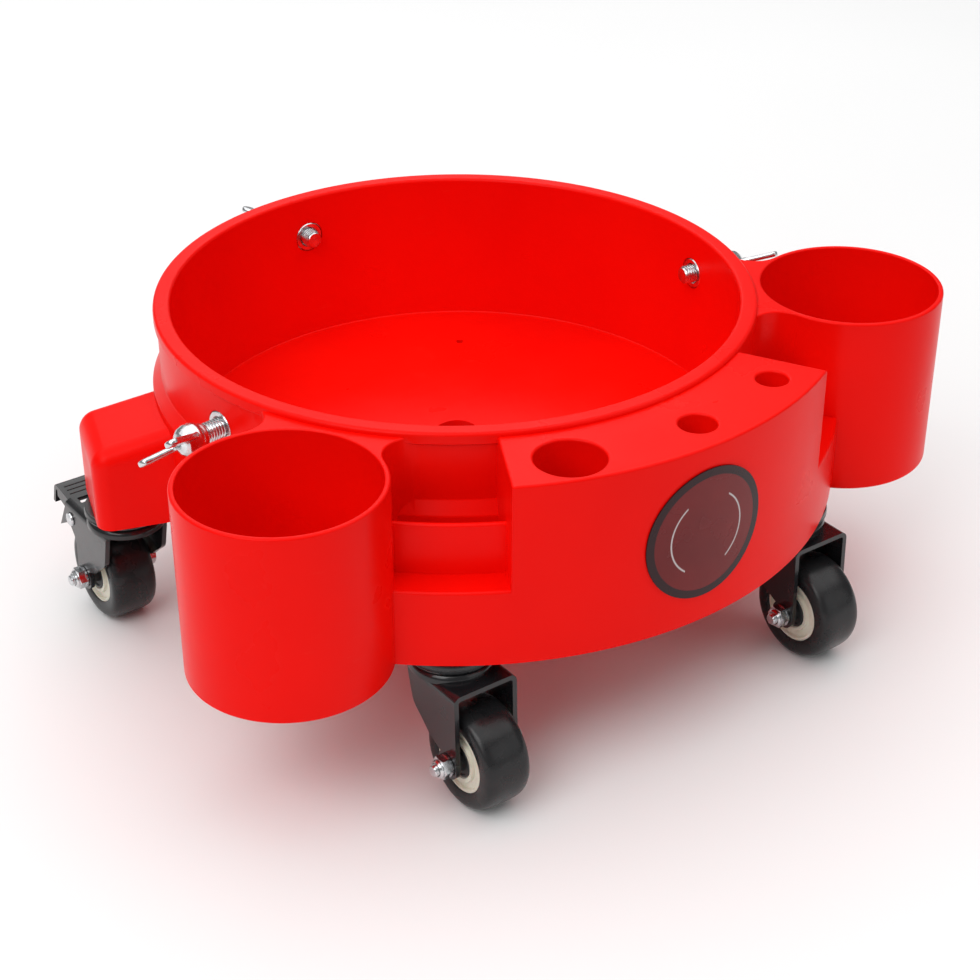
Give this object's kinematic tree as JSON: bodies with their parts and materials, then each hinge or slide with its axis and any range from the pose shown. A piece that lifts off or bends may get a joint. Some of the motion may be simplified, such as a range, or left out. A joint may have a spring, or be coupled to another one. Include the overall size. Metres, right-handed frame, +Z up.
{
  "type": "rolling bucket dolly",
  "caption": "Round rolling dolly that carries a wash bucket, with bottle cups, a brush tray, clamp screws and swivel casters.",
  "frame": {"origin": "on the ground, midway across the whole part, under the axis of the well", "axes": "+Z up, the brush tray faces -Y, the large brush hole is towards -X"},
  "size_m": [0.4226, 0.3846, 0.166],
  "materials": {
    "red_plastic": "satin moulded polypropylene",
    "black_steel": "gloss black coated steel",
    "black_tread": "smooth polyurethane",
    "black_seal": "matte bearing seal",
    "cream_nylon": "matte nylon",
    "zinc_steel": "bright zinc plate",
    "label_film": "printed film"
  },
  "bodies": {
    "dolly": {"dolly_body": "red_plastic", "front_sticker": "label_film", "clamp_insert_left": "zinc_steel", "clamp_insert_right": "zinc_steel", "clamp_insert_rear": "zinc_steel", "caster_stem_front_left": "zinc_steel", "caster_race_front_left": "black_steel", "caster_stem_front_right": "zinc_steel", "caster_race_front_right": "black_steel", "caster_stem_left": "zinc_steel", "caster_race_left": "black_steel", "caster_stem_right": "zinc_steel", "caster_race_right": "black_steel", "caster_stem_rear": "zinc_steel", "caster_race_rear": "black_steel"},
    "screw_left": {"clamp_screw_left": "zinc_steel"},
    "wing_left": {"clamp_wing_left": "zinc_steel"},
    "screw_right": {"clamp_screw_right": "zinc_steel"},
    "wing_right": {"clamp_wing_right": "zinc_steel"},
    "screw_rear": {"clamp_screw_rear": "zinc_steel"},
    "wing_rear": {"clamp_wing_rear": "zinc_steel"},
    "swivel_front_left": {"caster_fork_front_left": "black_steel", "axle_bolt_front_left": "zinc_steel", "axle_nut_front_left": "zinc_steel"},
    "wheel_front_left": {"wheel_tread_front_left": "black_tread", "wheel_hub_front_left": "cream_nylon", "wheel_bearing_front_left": "black_seal"},
    "swivel_front_right": {"caster_fork_front_right": "black_steel", "axle_bolt_front_right": "zinc_steel", "axle_nut_front_right": "zinc_steel"},
    "wheel_front_right": {"wheel_tread_front_right": "black_tread", "wheel_hub_front_right": "cream_nylon", "wheel_bearing_front_right": "black_seal"},
    "swivel_left": {"caster_fork_left": "black_steel", "axle_bolt_left": "zinc_steel", "axle_nut_left": "zinc_steel", "brake_pin_left": "zinc_steel"},
    "wheel_left": {"wheel_tread_left": "black_tread", "wheel_hub_left": "cream_nylon", "wheel_bearing_left": "black_seal"},
    "pedal_left": {"brake_pedal_left": "black_steel"},
    "swivel_right": {"caster_fork_right": "black_steel", "axle_bolt_right": "zinc_steel", "axle_nut_right": "zinc_steel", "brake_pin_right": "zinc_steel"},
    "wheel_right": {"wheel_tread_right": "black_tread", "wheel_hub_right": "cream_nylon", "wheel_bearing_right": "black_seal"},
    "pedal_right": {"brake_pedal_right": "black_steel"},
    "swivel_rear": {"caster_fork_rear": "black_steel", "axle_bolt_rear": "zinc_steel", "axle_nut_rear": "zinc_steel"},
    "wheel_rear": {"wheel_tread_rear": "black_tread", "wheel_hub_rear": "cream_nylon", "wheel_bearing_rear": "black_seal"}
  },
  "joints": [
    {"name": "screw_left_advance", "type": "slide", "parent": "dolly", "child": "screw_left", "axis": [0.991, 0.134, 0], "range_m": [-0.009, 0.003]},
    {"name": "wing_left_turn", "type": "hinge", "parent": "screw_left", "child": "wing_left", "pos_m": [-0.15509, -0.02097, 0.143], "axis": [0.991, 0.134, 0], "range_deg": [-2160, 720]},
    {"name": "screw_right_advance", "type": "slide", "parent": "dolly", "child": "screw_right", "axis": [-0.991, 0.134, 0], "range_m": [-0.009, 0.003]},
    {"name": "wing_right_turn", "type": "hinge", "parent": "screw_right", "child": "wing_right", "pos_m": [0.15509, -0.02097, 0.143], "axis": [-0.991, 0.134, 0], "range_deg": [-2160, 720]},
    {"name": "screw_rear_advance", "type": "slide", "parent": "dolly", "child": "screw_rear", "axis": [0, -1, 0], "range_m": [-0.009, 0.003]},
    {"name": "wing_rear_turn", "type": "hinge", "parent": "screw_rear", "child": "wing_rear", "pos_m": [0, 0.1565, 0.143], "axis": [0, -1, 0], "range_deg": [-2160, 720]},
    {"name": "swivel_front_left_turn", "type": "hinge", "parent": "dolly", "child": "swivel_front_left", "pos_m": [-0.1011, -0.13915, 0.066], "axis": [0, 0, 1], "continuous": true},
    {"name": "wheel_front_left_spin", "type": "hinge", "parent": "swivel_front_left", "child": "wheel_front_left", "pos_m": [-0.1011, -0.16015, 0.0255], "axis": [1, 0, 0], "continuous": true},
    {"name": "swivel_front_right_turn", "type": "hinge", "parent": "dolly", "child": "swivel_front_right", "pos_m": [0.1011, -0.13915, 0.066], "axis": [0, 0, 1], "continuous": true},
    {"name": "wheel_front_right_spin", "type": "hinge", "parent": "swivel_front_right", "child": "wheel_front_right", "pos_m": [0.1011, -0.16015, 0.0255], "axis": [1, 0, 0], "continuous": true},
    {"name": "swivel_left_turn", "type": "hinge", "parent": "dolly", "child": "swivel_left", "pos_m": [-0.16358, 0.05315, 0.066], "axis": [0, 0, 1], "continuous": true},
    {"name": "wheel_left_spin", "type": "hinge", "parent": "swivel_left", "child": "wheel_left", "pos_m": [-0.16358, 0.07415, 0.0255], "axis": [-1, 0, 0], "continuous": true},
    {"name": "brake_left_press", "type": "hinge", "parent": "swivel_left", "child": "pedal_left", "pos_m": [-0.16358, 0.08315, 0.055], "axis": [-1, 0, 0], "range_deg": [0, 12.5]},
    {"name": "swivel_right_turn", "type": "hinge", "parent": "dolly", "child": "swivel_right", "pos_m": [0.16358, 0.05315, 0.066], "axis": [0, 0, 1], "continuous": true},
    {"name": "wheel_right_spin", "type": "hinge", "parent": "swivel_right", "child": "wheel_right", "pos_m": [0.16358, 0.07415, 0.0255], "axis": [-1, 0, 0], "continuous": true},
    {"name": "brake_right_press", "type": "hinge", "parent": "swivel_right", "child": "pedal_right", "pos_m": [0.16358, 0.08315, 0.055], "axis": [-1, 0, 0], "range_deg": [0, 12.5]},
    {"name": "swivel_rear_turn", "type": "hinge", "parent": "dolly", "child": "swivel_rear", "pos_m": [0, 0.172, 0.066], "axis": [0, 0, 1], "continuous": true},
    {"name": "wheel_rear_spin", "type": "hinge", "parent": "swivel_rear", "child": "wheel_rear", "pos_m": [0, 0.151, 0.0255], "axis": [1, 0, 0], "continuous": true}
  ],
  "couplings": [
    {"joint": "wing_left_turn", "follows": "screw_left_advance", "rad_per_m": 4188.8},
    {"joint": "wing_right_turn", "follows": "screw_right_advance", "rad_per_m": 4188.8},
    {"joint": "wing_rear_turn", "follows": "screw_rear_advance", "rad_per_m": 4188.8}
  ]
}
